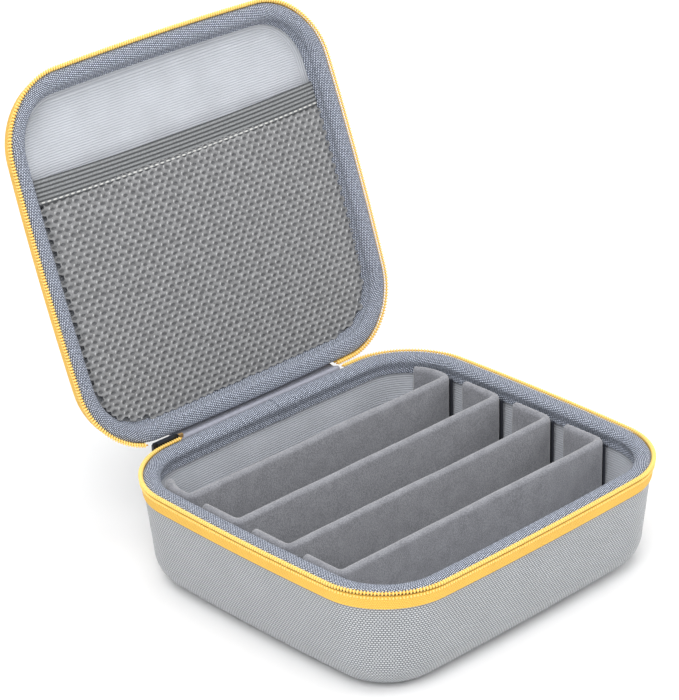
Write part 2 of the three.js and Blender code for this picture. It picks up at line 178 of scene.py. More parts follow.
# a wall's section is spun round one corner, pulled along the sides and mirrored
def roundTheCase(profile, closed, cornerSteps=18, sideSteps=10, cut=None):
    bm = bmesh.new()
    runLayer = bm.verts.layers.float.new("run")
    verts = []
    travelled = 0.0
    for i, (inset, z) in enumerate(profile):
        vert = bm.verts.new((cornerX, cornerY + case["corner"] - inset, z))
        if i:
            travelled += math.dist(profile[i], profile[i - 1])
        vert[runLayer] = travelled
        verts.append(vert)
    edges = [bm.edges.new(pair) for pair in zip(verts, verts[1:])]
    if closed:
        edges.append(bm.edges.new((verts[-1], verts[0])))
    spun = bmesh.ops.spin(
        bm, geom=verts + edges, cent=(cornerX, cornerY, 0), axis=(0, 0, 1),
        angle=-math.pi / 2, steps=cornerSteps, use_merge=False,
    )
    last = [g for g in spun["geom_last"] if isinstance(g, bmesh.types.BMEdge)]
    pullEdges(bm, edges, Vector((-cornerX, 0, 0)), sideSteps)
    pullEdges(bm, last, Vector((0, -cornerY, 0)), sideSteps)
    for axis in ("X", "Y"):
        everything = bm.verts[:] + bm.edges[:] + bm.faces[:]
        bmesh.ops.mirror(bm, geom=everything, matrix=Matrix.Identity(4), merge_dist=1e-6, axis=axis)
    if cut:
        cutBack(bm, *cut)
    if cut or not closed:
        bmesh.ops.holes_fill(bm, edges=[e for e in bm.edges if e.is_boundary], sides=0)
    bmesh.ops.recalc_face_normals(bm, faces=bm.faces)
    mapRun(bm, runLayer)
    return bm


def cutBack(bm, left, right, keepInside=False):  # takes out a stretch of the back, or all but it
    backFrom = cornerY * 0.9
    for x in (left, right):
        back = [f for f in bm.faces if f.calc_center_median().y > backFrom]
        geom = list({v for f in back for v in f.verts}) + list({e for f in back for e in f.edges}) + back
        bmesh.ops.bisect_plane(bm, geom=geom, plane_co=(x, 0, 0), plane_no=(1, 0, 0), dist=1e-7)
    doomed = []
    for face in bm.faces:
        mid = face.calc_center_median()
        inside = mid.y > backFrom and left < mid.x < right
        if inside != keepInside:
            doomed.append(face)
    bmesh.ops.delete(bm, geom=doomed, context="FACES")


stripSides = 8  # a face with more corners is a floor or a cap


def mapRun(bm, runLayer):  # u goes round the case, v goes along the section, both in metres
    uv = bm.loops.layers.uv.new("UVMap")
    for face in bm.faces:
        mid = face.calc_center_median()
        flat = len(face.verts) > stripSides
        for loop in face.loops:
            co = loop.vert.co
            if flat:
                loop[uv].uv = (co.x, co.y)
            else:
                loop[uv].uv = (rimRun(co.x, co.y, mid), loop.vert[runLayer])


def bowAll(bm):
    for vert in bm.verts:
        vert.co.x, vert.co.y = bow(vert.co.x, vert.co.y)


def arc(cx, cz, radius, start, end, steps):
    angles = [start + (end - start) * i / steps for i in range(steps + 1)]
    return [(cx + radius * math.cos(a), cz + radius * math.sin(a)) for a in angles]


def smoothSection(points, steps, closed=True):  # an even curve through the points
    count = len(points)
    result = []
    for i in range(count if closed else count - 1):
        a, b, c, d = (Vector(points[(i + k - 1) % count]) for k in range(4))
        if not closed:
            a = Vector(points[max(i - 1, 0)])
            d = Vector(points[min(i + 2, count - 1)])
        for k in range(steps):
            t = k / steps
            bend = (2 * a - 5 * b + 4 * c - d) * t * t + (3 * b - a - 3 * c + d) * t ** 3
            p = 0.5 * (2 * b + (c - a) * t + bend)
            result.append((p.x, p.y))
    if not closed:
        result.append(tuple(points[-1]))
    return result


# the two halves, each standing on its flat face with its rim on top
halves = {
    "base": {
        "height": case["rim"], "draft": 4 * mm, "fillet": 17 * mm, "leg": 8 * mm,
        "place": None, "cut": (-52 * mm, 52 * mm),
    },
    "lid": {
        "height": case["lidHeight"], "draft": 1.2 * mm, "fillet": 12 * mm, "leg": 6 * mm,
        "place": onLid(case["lidHeight"]), "cut": (-69 * mm, 52 * mm),
    },
}


def wallInset(depth, z, half):
    fillet = half["fillet"]
    if z >= fillet:
        return depth - case["proud"] + half["draft"] * (half["height"] - z) / (half["height"] - fillet)
    radius = fillet - depth
    return half["draft"] + fillet - case["proud"] - math.sqrt(radius ** 2 - (fillet - z) ** 2)


def wallCurve(depth, top, half, steps=10, rows=4):
    fillet = half["fillet"]
    levels = [top - (top - fillet) * k / rows for k in range(rows)]
    down = [(wallInset(depth, z, half), z) for z in levels]
    centre = half["draft"] + fillet - case["proud"]
    return down + arc(centre, fillet, fillet - depth, math.pi, math.pi * 1.5, steps)


# materials
def plainMaterial(name, color, roughness, metallic=0.0):
    material = bpy.data.materials.new(name)
    material.use_nodes = True
    shader = material.node_tree.nodes["Principled BSDF"]
    shader.inputs["Base Color"].default_value = (*color, 1)
    shader.inputs["Roughness"].default_value = roughness
    shader.inputs["Metallic"].default_value = metallic
    return material, material.node_tree, shader


textureShift = 150 * mm  # keeps the joints between the widest bricks off the case


def addNode(tree, kind, inputs=None, **settings):
    made = tree.nodes.new(kind)
    for key, value in settings.items():
        setattr(made, key, value)
    for key, value in (inputs or {}).items():
        if isinstance(value, bpy.types.NodeSocket):
            tree.links.new(value, made.inputs[key])
        else:
            made.inputs[key].default_value = value
    return made


def coordinates(tree, kind="UV", turn=0.0):
    source = addNode(tree, "ShaderNodeTexCoord")
    mapped = addNode(tree, "ShaderNodeMapping", {"Vector": source.outputs[kind]})
    mapped.inputs["Rotation"].default_value = (0, 0, turn)
    mapped.inputs["Location"].default_value = (textureShift, 0, 0)
    return mapped.outputs["Vector"]


def mixColor(tree, factor, a, b, blend="MIX"):
    mix = addNode(tree, "ShaderNodeMix", data_type="RGBA", blend_type=blend)
    for key, value in (("Factor", factor), ("A", a), ("B", b)):
        index = {"Factor": 0, "A": 6, "B": 7}[key]
        if isinstance(value, bpy.types.NodeSocket):
            tree.links.new(value, mix.inputs[index])
        else:
            mix.inputs[index].default_value = value if key == "Factor" else (*value, 1)
    return mix.outputs[2]


def maths(tree, operation, *values):
    made = addNode(tree, "ShaderNodeMath", operation=operation)
    for index, value in enumerate(values):
        if isinstance(value, bpy.types.NodeSocket):
            tree.links.new(value, made.inputs[index])
        else:
            made.inputs[index].default_value = value
    return made.outputs[0]


def bump(tree, shader, height, distance):
    made = addNode(tree, "ShaderNodeBump", {"Height": height, "Distance": distance})
    tree.links.new(made.outputs["Normal"], shader.inputs["Normal"])


def weave(tree, vector, width, height, mortar, light, dark, offset=0.5):
    unit = 10 * mm  # the brick sizes stay inside their sockets' ranges
    return addNode(
        tree, "ShaderNodeTexBrick",
        {
            "Vector": vector, "Color1": (*light, 1), "Color2": (*light, 1), "Mortar": (*dark, 1),
            "Scale": 1 / unit, "Mortar Size": mortar / unit, "Mortar Smooth": 0.7,
            "Brick Width": width / unit, "Row Height": height / unit,
        },
        offset=offset,
    )


def wovenMaterial(
    name, light, dark, width, height, mortar, bumpDepth, roughness,
    turn=0.0, sheen=0.0, offset=0.5, mottle=0.12, mottleScale=60.0,
):
    material, tree, shader = plainMaterial(name, light, roughness)
    vector = coordinates(tree, "UV", turn)
    threads = weave(tree, vector, width, height, mortar, light, dark, offset)
    spots = addNode(tree, "ShaderNodeTexNoise", {"Vector": vector, "Scale": mottleScale, "Detail": 3.0})
    span = {"From Min": 0.3, "From Max": 0.7, "To Min": 1 - mottle, "To Max": 1 + mottle}
    level = addNode(tree, "ShaderNodeMapRange", {"Value": spots.outputs[0], **span}).outputs[0]
    grey = addNode(tree, "ShaderNodeCombineColor", {"Red": level, "Green": level, "Blue": level})
    tint = mixColor(tree, 1.0, threads.outputs["Color"], grey.outputs[0], "MULTIPLY")
    tree.links.new(tint, shader.inputs["Base Color"])
    up = maths(tree, "SUBTRACT", 1.0, threads.outputs["Fac"])
    bump(tree, shader, up, bumpDepth)
    shader.inputs["Sheen Weight"].default_value = sheen
    shader.inputs["Sheen Roughness"].default_value = 0.4
    return material


looks = {
    "ballistic": dict(
        light=(0.57, 0.585, 0.61), dark=(0.16, 0.175, 0.19), width=1.5 * mm, height=1.1 * mm,
        mortar=0.3 * mm, bumpDepth=0.35 * mm, roughness=0.4, sheen=0.1, mottle=0.03,
    ),
    "lining": dict(
        light=(0.545, 0.565, 0.605), dark=(0.45, 0.47, 0.52), width=600 * mm, height=1.15 * mm,
        mortar=0.28 * mm, bumpDepth=0.25 * mm, roughness=0.95, sheen=0.2, mottle=0.05,
    ),
    "binding": dict(
        light=(0.62, 0.67, 0.77), dark=(0.035, 0.045, 0.08), width=1.25 * mm, height=0.82 * mm,
        mortar=0.28 * mm, bumpDepth=0.3 * mm, roughness=0.85, sheen=0.1, turn=0.25, offset=0.35,
        mottle=0.3, mottleScale=700.0,
    ),
    "tape": dict(
        light=(0.97, 0.60, 0.10), dark=(0.82, 0.44, 0.05), width=0.9 * mm, height=0.9 * mm,
        mortar=0.16 * mm, bumpDepth=0.2 * mm, roughness=0.7, mottle=0.04,
    ),
    "strip": dict(
        light=(0.42, 0.43, 0.50), dark=(0.30, 0.31, 0.37), width=0.8 * mm, height=0.45 * mm,
        mortar=0.1 * mm, bumpDepth=0.1 * mm, roughness=0.8, mottle=0.05,
    ),
    "elastic": dict(
        light=(0.235, 0.243, 0.25), dark=(0.07, 0.073, 0.077), width=600 * mm, height=1.9 * mm,
        mortar=0.6 * mm, bumpDepth=0.4 * mm, roughness=0.9, mottle=0.25, mottleScale=1200.0,
    ),
}
materials = {name: wovenMaterial(name + "_weave", **look) for name, look in looks.items()}


def feltMaterial(name, color, dark, fuzz=0.3 * mm):
    material, tree, shader = plainMaterial(name, color, 1.0)
    vector = coordinates(tree, "Object")
    fine = addNode(tree, "ShaderNodeTexNoise", {"Vector": vector, "Scale": 1800.0, "Detail": 4.0})
    broad = addNode(tree, "ShaderNodeTexNoise", {"Vector": vector, "Scale": 150.0, "Detail": 3.0})
    both = maths(tree, "MULTIPLY_ADD", fine.outputs[0], 3.0, broad.outputs[0])
    level = addNode(tree, "ShaderNodeMapRange", {"Value": both, "From Min": 1.6, "From Max": 2.4})
    nap = mixColor(tree, level.outputs[0], dark, color)
    tree.links.new(nap, shader.inputs["Base Color"])
    bump(tree, shader, fine.outputs[0], fuzz)
    shader.inputs["Sheen Weight"].default_value = 0.5
    shader.inputs["Sheen Roughness"].default_value = 0.5
    return material


def smoothMaterial(name, color, roughness, metallic=0.0, grain=600.0, depth=0.05 * mm, vary=0.15):
    material, tree, shader = plainMaterial(name, color, roughness, metallic)
    vector = coordinates(tree, "Object")
    grainNoise = addNode(tree, "ShaderNodeTexNoise", {"Vector": vector, "Scale": grain, "Detail": 3.0})
    darker = [c * (1 - vary) for c in color]
    lighter = [min(1, c * (1 + vary)) for c in color]
    worn = mixColor(tree, grainNoise.outputs[0], darker, lighter)
    tree.links.new(worn, shader.inputs["Base Color"])
    bump(tree, shader, grainNoise.outputs[0], depth)
    return material


materials["felt"] = feltMaterial("felt", (0.275, 0.279, 0.305), (0.165, 0.168, 0.187))
finishes = {
    "coil": dict(
        name="coil_nylon", color=(0.98, 0.69, 0.20), roughness=0.45,
        grain=900.0, depth=0.03 * mm, vary=0.06,
    ),
    "coilCord": dict(
        name="coil_cord", color=(0.72, 0.36, 0.04), roughness=0.6,
        grain=900.0, depth=0.03 * mm, vary=0.06,
    ),
    "net": dict(
        name="net_thread", color=(0.225, 0.227, 0.232), roughness=0.85,
        grain=420.0, depth=0.25 * mm, vary=0.7,
    ),
    # knots: the raised ties are coloured lighter than the thread, a painted highlight
    "netKnotHighlight": dict(
        name="net_knot", color=(0.44, 0.445, 0.45), roughness=0.8,
        grain=900.0, depth=0.2 * mm, vary=0.3,
    ),
    # hole fill: a dark grey in the net's sunk holes, painted shade of the lid's hollow behind the net
    "netHoleShade": dict(
        name="net_holes_painted_shade", color=(0.13, 0.132, 0.138), roughness=0.95,
        grain=900.0, depth=0.2 * mm, vary=0.5,
    ),
    "slider": dict(name="black_enamel", color=(0.015, 0.018, 0.025), roughness=0.35, metallic=0.3),
    "stop": dict(name="gilt_stop", color=(0.55, 0.34, 0.13), roughness=0.4, metallic=0.6),
    "foam": dict(
        name="moulded_foam", color=(0.05, 0.05, 0.06), roughness=0.95, grain=400.0, depth=0.3 * mm
    ),
    "board": dict(name="core_board", color=(0.16, 0.13, 0.10), roughness=0.9),
    "hook": dict(
        name="hook_tape", color=(0.03, 0.033, 0.045), roughness=0.9, grain=2500.0, depth=0.4 * mm
    ),
    "thread": dict(name="sewing_thread", color=(0.62, 0.62, 0.60), roughness=0.8),
}
for kind, finish in finishes.items():
    materials[kind] = smoothMaterial(**finish)
print("materials made")

# nodes that show take these, and every other one is foam
nodeFinishes = {"core": "board", "hook": "hook", "slider": "slider", "stop": "stop"}
for nodeName, obj in frame["nodes"].items():
    named = [kind for word, kind in nodeFinishes.items() if word in nodeName]
    obj.data.materials.clear()
    obj.data.materials.append(materials[(named + ["foam"])[0]])


def placed(bm, half):
    if half["place"] is not None:
        bmesh.ops.transform(bm, matrix=half["place"], verts=bm.verts)
    return bm


def shellProfile(outer, inner, half):
    top = half["height"] - case["wallTop"]
    return wallCurve(outer, top, half)[::-1] + wallCurve(inner, top, half)


binding = {
    "roll": 8.0 * mm,
    "foot": 5.2 * mm,  # where the roll meets the inner wall
    "back": 6.0 * mm,  # depth of the band's back on the inner wall
    "skin": 1.2 * mm,
    "edge": 1.5 * mm,  # the roll turns down on both sides from here
    "steps": 3,
    "ripple": 0.25 * mm,
    "waveScale": 60,
    "grainScale": 260,
    "frayed": 0.4 * mm,
    "frayedPart": 0.2,  # of the leg
}


def bindingProfile(half):
    def front(z):
        return wallInset(binding["back"] + binding["skin"], z, half)

    def back(z):
        return wallInset(binding["back"], z, half)

    roll, gap, height, leg = binding["roll"], case["gap"], half["height"], half["leg"]
    foot, low, under = height - binding["foot"], height - leg, height - binding["edge"]
    outside = [
        (gap, under), (gap + 0.1 * mm, height - 0.4 * mm), (gap + 1.1 * mm, height + 0.5 * mm),
        (roll * 0.45, height + case["rollRise"]), (roll * 0.8, height + 0.35 * mm), (roll, under),
        (roll - 0.25 * mm, height - 3.2 * mm), (front(foot), foot),
    ]
    spare = foot - low
    outside += [(front(foot - spare * part), foot - spare * part) for part in (0.35, 0.7)]
    outside.append((front(low + spare * 0.02), low))
    inside = [(back(low), low), (back((low + under) / 2), (low + under) / 2), (back(under), under)]
    return smoothSection(outside, binding["steps"], closed=False) + inside


def rippleBinding(bm, half):
    low = half["height"] - half["leg"]
    for vert in bm.verts:
        co = vert.co
        wave = noise.noise(Vector((co.x, co.y, 0)) * binding["waveScale"])
        fine = noise.noise(Vector((co.x, co.y, co.z)) * binding["grainScale"])
        depth = half["height"] - co.z
        edge = max(0.0, 1 - (co.z - low) / (half["leg"] * binding["frayedPart"]))
        co.z += edge * binding["frayed"] * (wave + fine * 0.5)
        out = Vector((co.x / case["halfX"], co.y / case["halfY"], 0)).normalized()
        if depth > 2 * mm:
            co -= out * binding["ripple"] * (fine * 0.4 + 0.4)
        else:
            co.z += binding["ripple"] * 0.4 * fine


tape = {
    "drop": 1.0 * mm, "height": 7.1 * mm, "thick": 0.6 * mm, "edge": 0.3 * mm,
    "off": -0.25 * mm, "rows": 8,
}


def tapeProfile(half):
    top = half["height"] - tape["drop"]
    levels = [top - tape["height"] * k / tape["rows"] for k in range(tape["rows"] + 1)]
    face = [(wallInset(tape["off"], z, half), z) for z in levels]
    outside = [(inset - tape["thick"], z) for inset, z in face]
    outside[0] = (outside[0][0], top - tape["edge"])
    outside[-1] = (outside[-1][0], levels[-1] + tape["edge"])
    return face + outside[::-1]


coil = {
    "pitch": 1.4 * mm,
    "size": (0.46 * mm, 1.15 * mm, 0.95 * mm),  # along, across and up, half sizes
    "cord": 0.4 * mm,
    "cordSides": 8,
    "inset": -1.0 * mm,
    "rise": 0.15 * mm,
    "stitchDrop": 2.1 * mm,
    "stitchSize": (0.46 * mm, 0.7 * mm, 0.75 * mm),
}


def repeat(bm, places, make, batch=24):  # small batches keep the operators quick
    for start in range(0, len(places), batch):
        part = bmesh.new()
        for matrix in places[start:start + batch]:
            make(part, matrix)
        mesh = bpy.data.meshes.new("batch")
        part.to_mesh(mesh)
        part.free()
        bm.from_mesh(mesh)
        bpy.data.meshes.remove(mesh)


def beadRow(bm, cut, inset, z, size, pitch, segments=8, rings=6):
    start = -cut[0] if cut[0] < 0 else 0
    first = cut[1] + pitch
    last = 4 * quarterRun - start - pitch
    count = int((last - first) / pitch)
    scale = Matrix.Diagonal((*size, 1))
    places = []
    for i in range(count):
        point, along, out = rimPoint(first + (last - first) * i / (count - 1), inset, z)
        turn = Matrix((along, out, Vector((0, 0, 1)))).transposed().to_4x4()
        places.append(Matrix.Translation(point) @ turn @ scale)

    def bead(part, matrix):
        bmesh.ops.create_uvsphere(part, u_segments=segments, v_segments=rings, radius=1, matrix=matrix)

    repeat(bm, places, bead)


lap = {"left": 2 * mm, "right": 13 * mm, "lift": 0.4 * mm}


def bindingLap(half):  # the band's free end laid over its start
    section = bindingProfile(half)
    middle = sum((Vector(p) for p in section), Vector((0, 0))) / len(section)
    raised = []
    for point in section:
        out = Vector(point) - middle
        raised.append(tuple(Vector(point) + out.normalized() * lap["lift"]))
    bm = roundTheCase(raised, closed=True, cut=(lap["left"], lap["right"], True))
    bowAll(bm)
    finishPiece("base_binding_lap", bm, materials["binding"], "base", smoothAngle=60)


bindingLap(halves["base"])


def halfPiece(name, part, bm, look, node=None, smoothAngle=38):
    nodes = [name + node] if node else ()
    standing = placed(bm, halves[name])
    finishPiece(name + part, standing, materials[look], name, nodes, smoothAngle)


for name, half in halves.items():
    height = half["height"]
    print("building", name)
    shell = roundTheCase(shellProfile(0, case["skin"], half), closed=False)
    bowAll(shell)
    halfPiece(name, "_outer_cloth", shell, "ballistic", "_outer_fabric")
    liningFace = case["lining"] + case["liningSkin"]
    lining = roundTheCase(shellProfile(case["lining"], liningFace, half), closed=False)
    bowAll(lining)
    halfPiece(name, "_knit_lining", lining, "lining", "_lining")
    fineSteps = {"cornerSteps": 36, "sideSteps": 36}
    rimBand = roundTheCase(bindingProfile(half), closed=True, **fineSteps)
    bowAll(rimBand)
    rippleBinding(rimBand, half)
    halfPiece(name, "_rim_binding", rimBand, "binding", "_binding", 60)
    tapeBand = roundTheCase(tapeProfile(half), closed=True, cut=half["cut"])
    bowAll(tapeBand)
    halfPiece(name, "_tape", tapeBand, "tape", "_zipper_tape")
    teeth = bmesh.new()
    coilZ = height + coil["rise"]
    beadRow(teeth, half["cut"], coil["inset"], coilZ, coil["size"], coil["pitch"])
    halfPiece(name, "_coil", teeth, "coil", "_zipper_coil", smoothAngle=80)
    sides = coil["cordSides"]
    core = arc(coil["inset"], coilZ, coil["cord"], 0, math.tau * (sides - 1) / sides, sides - 1)
    cord = roundTheCase(core, closed=True, cut=half["cut"])
    bowAll(cord)
    halfPiece(name, "_coil_cord", cord, "coilCord", smoothAngle=80)
    stitches = bmesh.new()
    stitchZ = height - coil["stitchDrop"]
    stitchInset = wallInset(tape["off"], stitchZ, half) - tape["thick"]
    beadRow(stitches, half["cut"], stitchInset, stitchZ, coil["stitchSize"], coil["pitch"], 6, 4)
    halfPiece(name, "_coil_stitches", stitches, "coil", smoothAngle=80)


# dividers: felt over a board, with an end flap each side turned to the hinge
divider = {
    "thick": 4.4 * mm,
    "bend": 3.4 * mm,
    "panelSteps": 16,
    "topRound": 2.15 * mm,
    "rows": 10,
    "foot": 0.6 * mm,  # chamfer along the bottom
    "bendSteps": 8,
    "flapSteps": 5,
    "cornerSteps": 7,
    "endRound": 1.2 * mm,
    "floorGap": 1 * mm,
    "fuzz": 0.25 * mm,
    "fuzzScale": 90,
    "waveDepth": 8 * mm,  # the top edge sags unevenly down to here
    "wave": 0.8 * mm,
    "waveScale": 25,
}


def floorLimit(z):  # how far out a divider's end may reach at a height
    half = halves["base"]
    centre = half["draft"] + half["fillet"] - case["proud"]
    radius = half["fillet"] - case["lining"] - case["liningSkin"] - divider["floorGap"]
    if z >= half["fillet"]:
        return case["halfX"]
    drop = min(half["fillet"] - z, radius)
    return case["halfX"] - centre + math.sqrt(radius ** 2 - drop ** 2)


def dividerPiece(number):
    low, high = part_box(f"divider_{number}_cover")
    thick, bend, foot, rows = (divider[key] for key in ("thick", "bend", "foot", "rows"))
    y = low.y + thick / 2
    top, bottom = high.z, low.z
    outer = high.x
    half = thick / 2
    bm = bmesh.new()
    rounding = divider["topRound"]
    section = [(half, bottom + foot)]
    section += [(half, bottom + (top - rounding - bottom) * k / rows) for k in range(1, rows)]
    section += arc(0, top - rounding, half, 0, math.pi, rows)
    section += [(-half, bottom + (top - rounding - bottom) * k / rows) for k in range(rows - 1, 0, -1)]
    section += [(-half, bottom + foot), (-half + foot, bottom), (half - foot, bottom)]
    verts = [bm.verts.new((0, y - a, z)) for a, z in section]
    ring = [bm.edges.new((a, b)) for a, b in zip(verts, verts[1:] + verts[:1])]

    def turn(edges, centre, angle, steps):
        geom = list({v for e in edges for v in e.verts}) + edges
        spun = bmesh.ops.spin(
            bm, geom=geom, cent=centre, axis=(0, 0, 1), angle=angle, steps=steps, use_merge=False
        )
        return [g for g in spun["geom_last"] if isinstance(g, bmesh.types.BMEdge)]

    flapX = outer - half
    ring = pullEdges(bm, ring, Vector((flapX - bend, 0, 0)), divider["panelSteps"])
    ring = turn(ring, (flapX - bend, y + bend, 0), math.pi / 2, divider["bendSteps"])
    straightEnd = min(high.y, cornerY)
    ring = pullEdges(bm, ring, Vector((0, straightEnd - y - bend, 0)), divider["flapSteps"])
    if high.y > cornerY + 1 * mm:  # the rear flaps follow the case's corner
        reach = flapX - cornerX
        angle = math.asin(min((high.y - cornerY) / (reach + half), 0.95))
        ring = turn(ring, (cornerX, cornerY, 0), angle * 0.96, divider["cornerSteps"])
    cap = bmesh.ops.contextual_create(bm, geom=list({v for e in ring for v in e.verts}))["faces"]
    bmesh.ops.bevel(
        bm, geom=list({e for f in cap for e in f.edges}), offset=divider["endRound"], segments=3,
        affect="EDGES", profile=0.5, material=-1, clamp_overlap=True,
    )
    everything = bm.verts[:] + bm.edges[:] + bm.faces[:]
    bmesh.ops.mirror(bm, geom=everything, matrix=Matrix.Identity(4), merge_dist=1e-5, axis="X")
    for vert in bm.verts:
        co = vert.co
        spare = floorLimit(co.z)
        if spare < outer:
            co.x *= spare / outer
        fuzz = noise.noise(co * divider["fuzzScale"] + Vector((0, 0, number)))
        co.y += divider["fuzz"] * fuzz
        if co.z > top - divider["waveDepth"]:
            wave = noise.noise(Vector((co.x * divider["waveScale"], number * 3.1, 0)))
            co.z += min(0.0, wave * divider["wave"]) - 0.1 * mm
    body = f"divider_{number}"
    piece = finishPiece(body + "_felt", bm, materials["felt"], body, [body + "_cover"], 50)
    return piece


for number in range(1, 5):
    dividerPiece(number)
print("dividers made")


# lid pocket: a knitted net under an elastic band
net = {
    "cell": 4.5 * mm, "thread": 0.75 * mm, "thick": 0.3 * mm, "bulge": 2.6 * mm,
    "slope": 0.5 * mm, "sink": 0.9 * mm, "squash": 0.72, "wobble": 0.45 * mm,
    "wobbleScale": 160, "merge": 0.1 * mm,
    "knot": (0.42 * mm, 0.85 * mm, 0.4 * mm), "knotTurn": 0.5,
}
netLow, netHigh = closedBox("pocket_mesh")
bandLow, bandHigh = closedBox("pocket_elastic")
netZ = (netLow.z + netHigh.z) / 2


def netLift(x, y):  # how far the pocket stands out of its plane
    across = max(0.0, 1 - (x / netHigh.x) ** 2)
    along = (y - netLow.y) / (netHigh.y - netLow.y)
    return -net["bulge"] * math.sqrt(across) * math.sin(math.pi * min(1, 0.25 + 0.75 * along)) ** 0.6


def insidePocket(x, y):
    ax, ay = abs(x), abs(y)
    inset = case["halfX"] + case["bowX"] - netHigh.x
    reach = case["corner"] - inset
    if ax > cornerX and ay > cornerY:
        return math.hypot(ax - cornerX, ay - cornerY) < reach + 0.6 * mm
    return ax < cornerX + reach + case["bowX"] and ay < cornerY + reach + case["bowY"]


def pocketNet():
    bm = bmesh.new()
    radius = net["cell"] / math.sqrt(3)
    rowStep = radius * 1.5 * net["squash"]
    rows = int((netHigh.y - netLow.y) / rowStep) + 2
    columns = int((netHigh.x - netLow.x) / net["cell"]) + 2
    flatten = Matrix.Diagonal((1, net["squash"], 1, 1))
    tie = Matrix.Rotation(net["knotTurn"], 4, "Z") @ Matrix.Diagonal((*net["knot"], 1))
    places = []
    knots = []
    for row in range(rows):
        for column in range(columns):
            x = netLow.x + (column + 0.5 * (row % 2)) * net["cell"]
            y = netLow.y + row * rowStep
            if not insidePocket(x, y) or y > netHigh.y + radius:
                continue
            places.append(Matrix.Translation((x, y, netZ)) @ flatten)
            top = Vector((x, y + radius * net["squash"], netZ))
            if y + rowStep < netHigh.y and insidePocket(top.x * 1.03, top.y):
                shift = noise.noise_vector(top * net["wobbleScale"]) * net["wobble"]
                lift = netLift(top.x, top.y) - net["knot"][2] * 0.5
                knots.append(Matrix.Translation(top + Vector((shift.x, shift.y, lift))) @ tie)

    def cell(part, matrix):
        bmesh.ops.create_circle(part, cap_ends=True, segments=6, radius=radius, matrix=matrix)

    repeat(bm, places, cell)
    bmesh.ops.remove_doubles(bm, verts=bm.verts, dist=net["merge"])
    bmesh.ops.recalc_face_normals(bm, faces=bm.faces)
    area = sum(f.calc_area() for f in bm.faces)
    holes = bm.faces[:]
    bmesh.ops.inset_individual(bm, faces=holes, thickness=net["thread"] * 0.5)
    bmesh.ops.inset_individual(bm, faces=holes, thickness=net["slope"])
    sunk = {v for f in holes for v in f.verts}
    # the sunk hole faces take the dark fill, which is painted shade
    for face in holes:
        face.material_index = 1
    for vert in bm.verts:
        co = vert.co
        wobble = noise.noise_vector(co * net["wobbleScale"]) * net["wobble"]
        co.x += wobble.x
        co.y += wobble.y
        co.z += netLift(co.x, co.y)
        if vert in sunk:
            co.z += net["sink"]
    bmesh.ops.recalc_face_normals(bm, faces=bm.faces)
    bmesh.ops.solidify(bm, geom=bm.faces[:], thickness=net["thick"])
    bmesh.ops.transform(bm, matrix=openTurn, verts=bm.verts)
    piece = finishPiece("pocket_net", bm, materials["net"], "lid", ["pocket_mesh"], 80)
    # second slot: the painted shade in the holes
    piece.data.materials.append(materials["netHoleShade"])
    flat = (netHigh.x - netLow.x, netHigh.y - netLow.y)
    area = min(area, flat[0] * flat[1])

    def knot(part, matrix):
        bmesh.ops.create_uvsphere(part, u_segments=6, v_segments=4, radius=1, matrix=matrix)

    ties = bmesh.new()
    # the knots carry the painted highlight colour
    repeat(ties, knots, knot)
    bmesh.ops.transform(ties, matrix=openTurn, verts=ties.verts)
    finishPiece("pocket_net_knots", ties, materials["netKnotHighlight"], "lid", smoothAngle=80)


band = {
    "thick": 1.3 * mm, "edge": 0.5 * mm, "cuts": 120, "sag": 1.5 * mm,
    "gather": 0.06 * mm, "gatherPitch": 2.2 * mm,
    "liftPart": 0.8, "liftFrom": 10 * mm,  # follows the net's bulge just below the band
}


def bandSag(x):
    return band["sag"] * (1 - (x / bandHigh.x) ** 2)


def bandLift(x):
    return netLift(x, bandLow.y + band["liftFrom"]) * band["liftPart"]


def longEdges(bm):
    return [e for e in bm.edges if abs(e.verts[0].co.x - e.verts[1].co.x) > 10 * mm]


def pocketBand():
    bm = bmesh.new()
    low, high = bandLow, bandHigh
    bmesh.ops.create_cube(bm, size=1)
    bmesh.ops.scale(bm, vec=(high.x - low.x, high.y - low.y, band["thick"]), verts=bm.verts)
    bmesh.ops.translate(bm, vec=((low.x + high.x) / 2, (low.y + high.y) / 2, netZ), verts=bm.verts)
    bmesh.ops.bevel(
        bm, geom=longEdges(bm), offset=band["edge"], segments=3, affect="EDGES", profile=0.5, material=-1
    )
    bmesh.ops.subdivide_edges(bm, edges=longEdges(bm), cuts=band["cuts"], use_grid_fill=True)
    uv = bm.loops.layers.uv.new("UVMap")
    for face in bm.faces:
        for loop in face.loops:
            loop[uv].uv = (loop.vert.co.x, loop.vert.co.y)
    for vert in bm.verts:
        co = vert.co
        gather = math.sin(co.x * math.tau / band["gatherPitch"]) * band["gather"]
        co.z += bandLift(co.x) + gather
        co.y += bandSag(co.x)
    bmesh.ops.transform(bm, matrix=openTurn, verts=bm.verts)
    finishPiece("pocket_band", bm, materials["elastic"], "lid", ["pocket_elastic"], 60)


bandStitch = {
    "pitch": 3.3 * mm, "size": (1.2 * mm, 0.4 * mm, 0.3 * mm),
    "up": 1.3 * mm, "front": 0.75 * mm, "endGap": 2 * mm,
}


def bandStitches():
    bm = bmesh.new()
    reach = bandHigh.x - bandStitch["endGap"]
    count = int(2 * reach / bandStitch["pitch"])
    scale = Matrix.Diagonal((*bandStitch["size"], 1))
    places = []
    for i in range(count + 1):
        x = -reach + 2 * reach * i / count
        y = bandHigh.y - bandStitch["up"] + bandSag(x)
        z = netZ - bandStitch["front"] + bandLift(x)
        places.append(Matrix.Translation((x, y, z)) @ scale)

    def stitch(part, matrix):
        bmesh.ops.create_uvsphere(part, u_segments=8, v_segments=5, radius=1, matrix=matrix)

    repeat(bm, places, stitch)
    bmesh.ops.transform(bm, matrix=openTurn, verts=bm.verts)
    finishPiece("band_stitches", bm, materials["thread"], "lid", smoothAngle=80)


pocketNet()
pocketBand()
bandStitches()
print("pocket made")
